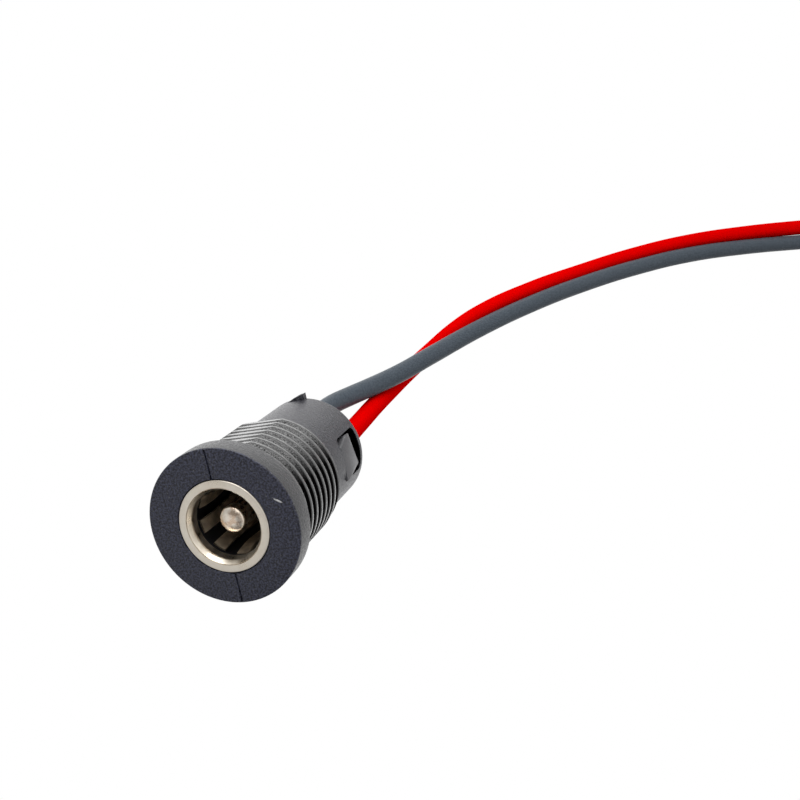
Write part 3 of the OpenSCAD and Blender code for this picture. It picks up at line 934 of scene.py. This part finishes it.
wear_and_shading_group, wear_and_shading_in, wear_and_shading_out = new_group("housing_wear_and_shading", [("Dust and light from", DUST_AND_LIGHT_FROM)],
                                          ["Painted shade", "Dust and light", "Crest", "Thread", "Rim", "Barrel"])
from_axis, along_axis, above_axis = round_the_axis(wear_and_shading_group)
in_thread = combine(wear_and_shading_group, "MINIMUM", remap(wear_and_shading_group, along_axis, 0.0, MASK_EDGE),
                    remap(wear_and_shading_group, along_axis, THREAD_LEN + MASK_EDGE, THREAD_LEN))
tilt = combine(wear_and_shading_group, "DIVIDE", above_axis, from_axis)
flat_r = combine(wear_and_shading_group, "DIVIDE", THREAD_FLAT, combine(wear_and_shading_group, "ABSOLUTE", tilt, 0.0))
crest_r = combine(wear_and_shading_group, "MINIMUM", THREAD_R, flat_r)
depth = combine(wear_and_shading_group, "SUBTRACT", crest_r, from_axis)
groove = combine(wear_and_shading_group, "MULTIPLY", in_thread, remap(wear_and_shading_group, depth, *GROOVE_DEPTHS))

crumb_noise = noise_value(wear_and_shading_group, coords_in_mm(wear_and_shading_group), CRUMBS_PER_MM)
crumbs = remap(wear_and_shading_group, crumb_noise, *CRUMB_RANGE, CRUMB_LEAST)
# Dust mixed with painted light: grooves on the +X side, where the key lamp shines, are paler as if light
# fell into them; the crumbs make it uneven.
dust_and_light_side = remap(wear_and_shading_group, tilt, wear_and_shading_in.outputs["Dust and light from"], DUST_AND_LIGHT_FULL)
dust_and_light_spread = combine(wear_and_shading_group, "MULTIPLY", crumbs, dust_and_light_side)
dust_and_light = combine(wear_and_shading_group, "MULTIPLY", groove, dust_and_light_spread)
shaded_groove = combine(wear_and_shading_group, "SUBTRACT", groove, dust_and_light)
at_window = combine(wear_and_shading_group, "MINIMUM",
                    remap(wear_and_shading_group, along_axis, WINDOW_LOW - CHEEK_EDGE, WINDOW_LOW),
                    remap(wear_and_shading_group, along_axis, WINDOW_HIGH + CHEEK_EDGE, WINDOW_HIGH))
below_wall = remap(wear_and_shading_group, from_axis, *(BARREL_R - d for d in CHEEK_DEPTHS))
cheek = combine(wear_and_shading_group, "MULTIPLY", at_window, below_wall)
# The rim's mask carries painted light.
rim = combine(wear_and_shading_group, "MULTIPLY", remap(wear_and_shading_group, from_axis, *(FLANGE_R - d for d in RIM_EDGES)),
              remap(wear_and_shading_group, along_axis, FACE_Y + RIM_EDGES[1], FACE_Y + RIM_EDGES[0]))

# Painted shade: the grooves without the pale mix, and the windows' cheeks, go near-black.
painted_shade = combine(wear_and_shading_group, "MAXIMUM", shaded_groove, cheek)
crest = combine(wear_and_shading_group, "SUBTRACT", in_thread, groove)
barrel = remap(wear_and_shading_group, along_axis, THREAD_LEN, THREAD_LEN + MASK_EDGE)
for mask, label in ((painted_shade, "Painted shade"), (dust_and_light, "Dust and light"), (crest, "Crest"), (in_thread, "Thread"),
                    (rim, "Rim"), (barrel, "Barrel")):
    give(wear_and_shading_group, mask, wear_and_shading_out, label)
print("group:", wear_and_shading_group.name, "with nodes:", len(wear_and_shading_group.nodes))

# %% [markdown]
# ## Building a finish
#
# Every finish has the same skeleton: a Principled BSDF, a colour that a mask mixes from two, a
# roughness that the same or another mask drives, and a bump. One function builds that, and each
# finish then says only what is its own. The turned metals come first: bright nickel plate, and bare
# bronze strip, which is browner and duller.

# %% Finish the turned metals
HAZY = ("Haze", "Haze")
finishes = {}


def effect_node(tree, group, setting):
    """Puts a shared group into a tree, with its one setting."""
    node = tree.nodes.new("ShaderNodeGroup")
    node.node_tree = group
    node.inputs[0].default_value = setting
    return node


def blended(tree, factor, a, b):
    """Mixes two colours; each may be a colour or a socket."""
    node = tree.nodes.new("ShaderNodeMix")
    node.data_type = "RGBA"
    tree.links.new(factor, node.inputs["Factor"])
    for label, colour in (("A", a), ("B", b)):
        if isinstance(colour, tuple):
            node.inputs[label].default_value = (*colour, 1)
        else:
            tree.links.new(colour, node.inputs[label])
    return node.outputs["Result"]


def finish(name, group, setting, masks, colours, roughness, bump, metallic=0.0, specular=0.5):
    """Adds a material whose colour, roughness and bump come from a shared group's outputs.

    masks names the outputs that drive colour and roughness; colours and roughness are (low, high)
    pairs for those masks; bump is the height in mm. Returns its tree, shader and colour.
    """
    material = bpy.data.materials.new(name)
    material.use_nodes = True
    finishes[name] = material
    tree = material.node_tree
    shader = tree.nodes["Principled BSDF"]
    shader.inputs["Metallic"].default_value = metallic
    shader.inputs["Specular IOR Level"].default_value = specular
    effect = effect_node(tree, group, setting)
    colour = blended(tree, effect.outputs[masks[0]], *colours)
    tree.links.new(colour, shader.inputs["Base Color"])
    tree.links.new(remap(tree, effect.outputs[masks[1]], 0.0, 1.0, *roughness), shader.inputs["Roughness"])
    relief = tree.nodes.new("ShaderNodeBump")
    relief.inputs["Strength"].default_value = 1.0
    relief.inputs["Distance"].default_value = bump * MM
    tree.links.new(effect.outputs["Height"], relief.inputs["Height"])
    tree.links.new(relief.outputs["Normal"], shader.inputs["Normal"])
    return tree, shader, colour


finish("nickel", lathe_group, LINES_PER_MM, HAZY,
       ((0.7, 0.63, 0.53), (0.84, 0.78, 0.68)), (0.26, 0.4), 0.004, metallic=1.0)
finish("bronze", lathe_group, 9.0, HAZY,
       ((0.5, 0.41, 0.3), (0.84, 0.72, 0.56)), (0.44, 0.56), 0.006, metallic=1.0)
print("turned metals:", sorted(finishes))

# %% [markdown]
# ## Grainy finishes
#
# The other plain finishes use the grain at their own scale. Plugs have worn the pin's plate, so it is
# mottled with the warm brass below. Solder and tinned strands are grey metal, the resin is a glossy
# deep black, and the leads are dull vinyl that hardly mirrors anything.

# %% Finish the grainy pieces
GRAINY = ("Fleck", "Cloud")
MOTTLED = ("Fleck", "Fleck")

finish("worn_nickel", grain_group, 1.5, MOTTLED,
       ((0.72, 0.56, 0.43), (0.97, 0.89, 0.78)), (0.24, 0.34), 0.05, metallic=1.0)
finish("solder", grain_group, 6.0, GRAINY,
       ((0.5, 0.5, 0.5), (0.62, 0.62, 0.63)), (0.25, 0.45), 0.02, metallic=1.0)
finish("tinned_copper", grain_group, 5.0, GRAINY,
       ((0.62, 0.6, 0.56), (0.72, 0.7, 0.67)), (0.2, 0.36), 0.01, metallic=1.0)
finish("potting", grain_group, 3.0, GRAINY,
       ((0.008, 0.008, 0.009), (0.014, 0.014, 0.015)), (0.18, 0.3), 0.01)
finish("black_insulation", grain_group, 6.0, GRAINY,
       ((0.043, 0.054, 0.067), (0.058, 0.071, 0.086)), (0.4, 0.5), 0.004, specular=0.12)
finish("red_insulation", grain_group, 6.0, GRAINY,
       ((0.51, 0.0, 0.0), (0.56, 0.0, 0.0)), (0.5, 0.6), 0.003, specular=0.0)
print("plain finishes so far:", len(finishes))

# %% [markdown]
# ## The core's finish
#
# The hooks are dull grey plastic, while deeper inside the cup the colour is deep black, as painted
# shade for the hollow. A mask from the distance to the axis mixes the two on the core's own grain.

# %% Finish the core
# Painted shade: deep black for the inside of the cup.
CUP_PAINTED_SHADE = (0.004, 0.004, 0.005)
INSIDE_DEPTHS = (0.05, 0.3)

tree, shader, colour = finish("core_plastic", grain_group, 8.0, GRAINY,
                              ((0.05, 0.05, 0.054), (0.08, 0.08, 0.085)), (0.34, 0.44), 0.012)
# Painted shade: deeper inside the cup the colour goes deep black.
inside = remap(tree, round_the_axis(tree)[0], *(CORE_R - d for d in INSIDE_DEPTHS))
tree.links.new(blended(tree, inside, colour, CUP_PAINTED_SHADE), shader.inputs["Base Color"])
print("core finish nodes:", len(tree.nodes))

# %% [markdown]
# ## A scratch
#
# Something has scraped the flange and left one short pale mark. Its mask is a Mapping node that makes
# a long thin ellipsoid at the mark into a unit ball: what lies inside the ball is scratched. A noise
# makes the mark a little uneven.

# %% Scratch group
SCRATCH_AT = (1.65, FACE_Y, -4.93)
SCRATCH_TURN_DEG = -60
SCRATCH_SIZE = (0.42, 0.2, 0.09)
SCRATCH_FADE = (1.0, 0.6)
FLAKES_PER_MM = 7.0
FLAKE_RANGE = (0.3, 0.6)
FLAKE_LEAST = 0.5

scratch_group, scratch_in, scratch_out = new_group("scratch", [("Flakes per mm", FLAKES_PER_MM)], ["Mask"])
scratch_place = coords_in_mm(scratch_group)
local = scratch_group.nodes.new("ShaderNodeMapping")
local.vector_type = "TEXTURE"
local.inputs["Location"].default_value = SCRATCH_AT
local.inputs["Rotation"].default_value = (0, math.radians(SCRATCH_TURN_DEG), 0)
local.inputs["Scale"].default_value = SCRATCH_SIZE
scratch_group.links.new(scratch_place, local.inputs["Vector"])
near = remap(scratch_group, length_of(scratch_group, local.outputs["Vector"]), *SCRATCH_FADE)
flake_noise = noise_value(scratch_group, scratch_place, scratch_in.outputs["Flakes per mm"])
flakes = remap(scratch_group, flake_noise, *FLAKE_RANGE, FLAKE_LEAST)
give(scratch_group, combine(scratch_group, "MULTIPLY", near, flakes), scratch_out, "Mask")
print("group:", scratch_group.name)

# %% [markdown]
# ## The housing's finish
#
# The housing gets its grain, then one layer after another through the masks: the greyer rear barrel,
# specks of dust, painted light on the rim, the thread's crests, a pale mix of dust and painted light in
# the grooves on the +X side, and painted shade in the other grooves and the windows' cheeks. The crests
# are polished by the nut, which a coat shows. The painted shade keeps those grooves black although a
# pale floor lies below: a near-black metal mirrors almost nothing, so the painted shade mask drives
# Metallic as well, which paints out their reflection. The scratch comes last.

# %% Finish the housing
FACE_DARK = (0.0, 0.0, 0.004)
FACE_PALE = (0.034, 0.037, 0.062)
BARREL_DARK = (0.0, 0.0, 0.004)
BARREL_PALE = (0.048, 0.048, 0.055)
DUST = (0.07, 0.07, 0.08)
# Painted light: the flange's rim is paler as if a lamp lit it.
RIM_PAINTED_LIGHT = (0.04, 0.04, 0.042)
CREST = (0.06, 0.06, 0.06)
# Dust mixed with painted light, for the grooves on the +X side.
THREAD_DUST_AND_LIGHT = (0.19, 0.19, 0.19)
# Painted shade: near-black colour for the shaded thread grooves and the windows' cheeks.
PAINTED_SHADE = (0.002, 0.002, 0.002)
SCRATCH = (0.5, 0.5, 0.5)
CREST_GLOSS = 0.25

tree, shader, colour = finish("housing_plastic", grain_group, GRAINS_PER_MM, MOTTLED,
                              (FACE_DARK, FACE_PALE), (0.3, 0.5), 0.05)
specks = effect_node(tree, dust_group, SPECKS_PER_MM)
wear_and_shading = effect_node(tree, wear_and_shading_group, DUST_AND_LIGHT_FROM)
grain = effect_node(tree, grain_group, GRAINS_PER_MM)
scratch = effect_node(tree, scratch_group, FLAKES_PER_MM)
barrel_colour = blended(tree, grain.outputs["Fleck"], BARREL_DARK, BARREL_PALE)
for mask, layer in (
        (wear_and_shading.outputs["Barrel"], barrel_colour), (specks.outputs["Mask"], DUST),
        (wear_and_shading.outputs["Rim"], RIM_PAINTED_LIGHT), (wear_and_shading.outputs["Thread"], CREST),
        (wear_and_shading.outputs["Dust and light"], THREAD_DUST_AND_LIGHT), (wear_and_shading.outputs["Painted shade"], PAINTED_SHADE),
        (scratch.outputs["Mask"], SCRATCH)):
    colour = blended(tree, mask, colour, layer)
tree.links.new(colour, shader.inputs["Base Color"])
tree.links.new(wear_and_shading.outputs["Crest"], shader.inputs["Coat Weight"])
# The painted shade mask also drives Metallic, which paints out reflections in those grooves.
tree.links.new(wear_and_shading.outputs["Painted shade"], shader.inputs["Metallic"])
shader.inputs["Coat Roughness"].default_value = CREST_GLOSS
print("housing finish nodes:", len(tree.nodes))

# %% [markdown]
# ## Dressing the pieces
#
# Every piece gets one finish. The solder lug and the two solder joints are right as the CAD model
# draws them, so those objects stay and only their material changes.

# %% Put the finishes on
dressed = {
    housing: "housing_plastic", front_ring: "nickel", centre_pin: "worn_nickel", spring_contact: "bronze",
    insulator_core: "core_plastic", rear_seal: "potting", black_strands: "tinned_copper",
    red_strands: "tinned_copper", black_lead: "black_insulation", red_lead: "red_insulation",
    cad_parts["positive_lug"]: "nickel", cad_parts["positive_solder"]: "solder",
    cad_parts["negative_solder"]: "solder",
}
for piece, label in dressed.items():
    piece.data.materials.clear()
    piece.data.materials.append(finishes[label])
print("dressed pieces:", len(dressed))

# %% [markdown]
# ## The floor
#
# The socket hangs in the air in a white studio, as if its panel held it. A round pale floor lies a
# little below the stripped ends. It throws soft light up at the barrel.

# %% Lay the floor
FLOOR_DROP = 6.0
FLOOR_RADIUS = 450.0
FLOOR_SIDES = 128
FLOOR_COLOUR = (0.85, 0.85, 0.85, 1)
FLOOR_ROUGHNESS = 0.9

floor_bm = bmesh.new()
bmesh.ops.create_circle(floor_bm, cap_ends=True, radius=FLOOR_RADIUS * MM, segments=FLOOR_SIDES,
                        matrix=Matrix.Translation((0, 0, cad_low.z - FLOOR_DROP * MM)))
floor_mesh = bpy.data.meshes.new("studio_floor")
floor_bm.to_mesh(floor_mesh)
floor_bm.free()
floor = bpy.data.objects.new("studio_floor", floor_mesh)
bpy.context.collection.objects.link(floor)
pale = bpy.data.materials.new("pale_floor")
pale.use_nodes = True
pale_shader = pale.node_tree.nodes["Principled BSDF"]
pale_shader.inputs["Base Color"].default_value = FLOOR_COLOUR
pale_shader.inputs["Roughness"].default_value = FLOOR_ROUGHNESS
floor.data.materials.append(pale)
print("floor height in mm:", round(cad_low.z / MM - FLOOR_DROP, 1))

# %% [markdown]
# ## World light
#
# The camera sees the world as plain white. For everything else it is a soft slope of light, bright
# behind the socket and on its +X side, and dim in front of it. So the barrel mirrors a bright room at
# a low angle, and the front face stays dark.

# %% Light the world
BRIGHT_SIDE = (0.55, 0.8, -0.15)
SLOPE_RANGE = (-0.8, 0.6)
LIGHT_RANGE = (0.15, 1.55)

world = bpy.data.worlds.new("white_studio")
world.use_nodes = True
bpy.context.scene.world = world
world_tree = world.node_tree
path = world_tree.nodes.new("ShaderNodeLightPath")
white_or_light = world_tree.nodes.new("ShaderNodeMix")
white_or_light.data_type = "RGBA"
white_or_light.inputs["B"].default_value = (1, 1, 1, 1)
direction = world_tree.nodes.new("ShaderNodeTexCoord")
towards = world_tree.nodes.new("ShaderNodeVectorMath")
towards.operation = "DOT_PRODUCT"
towards.inputs[1].default_value = BRIGHT_SIDE
world_tree.links.new(direction.outputs["Generated"], towards.inputs[0])
level = remap(world_tree, towards.outputs["Value"], *SLOPE_RANGE, *LIGHT_RANGE)
world_tree.links.new(level, white_or_light.inputs["A"])
world_tree.links.new(path.outputs["Is Camera Ray"], white_or_light.inputs["Factor"])
world_tree.links.new(white_or_light.outputs["Result"], world_tree.nodes["Background"].inputs["Color"])
print("world light from", LIGHT_RANGE[0], "to", LIGHT_RANGE[1])

# %% [markdown]
# ## Lamps
#
# Three square soft lamps look at the socket. The key shines on its +X side. A large dim card in front
# lifts the dark face, and a small lamp shines into the hole, so that the pin and the fingers show.

# %% Hang the lamps
LAMPS = (
    ("key", (150, -50, -40), 120, 0.22),
    ("front_card", (-75, -205, 120), 200, 0.072),
    ("hole_light", (90, -200, -50), 50, 0.02),
)

for name, place, size, watts in LAMPS:
    lamp_data = bpy.data.lights.new(name, "AREA")
    lamp_data.size = size * MM
    lamp_data.energy = watts
    lamp = bpy.data.objects.new(name, lamp_data)
    lamp.location = Vector(place) * MM
    lamp.rotation_euler = (Vector() - lamp.location).to_track_quat("-Z", "Y").to_euler()
    bpy.context.collection.objects.link(lamp)
    print(name, "distance in mm:", round(lamp.location.length / MM))
bpy.context.scene.view_settings.view_transform = "Standard"

# %% Update the scene
bpy.context.view_layer.update()
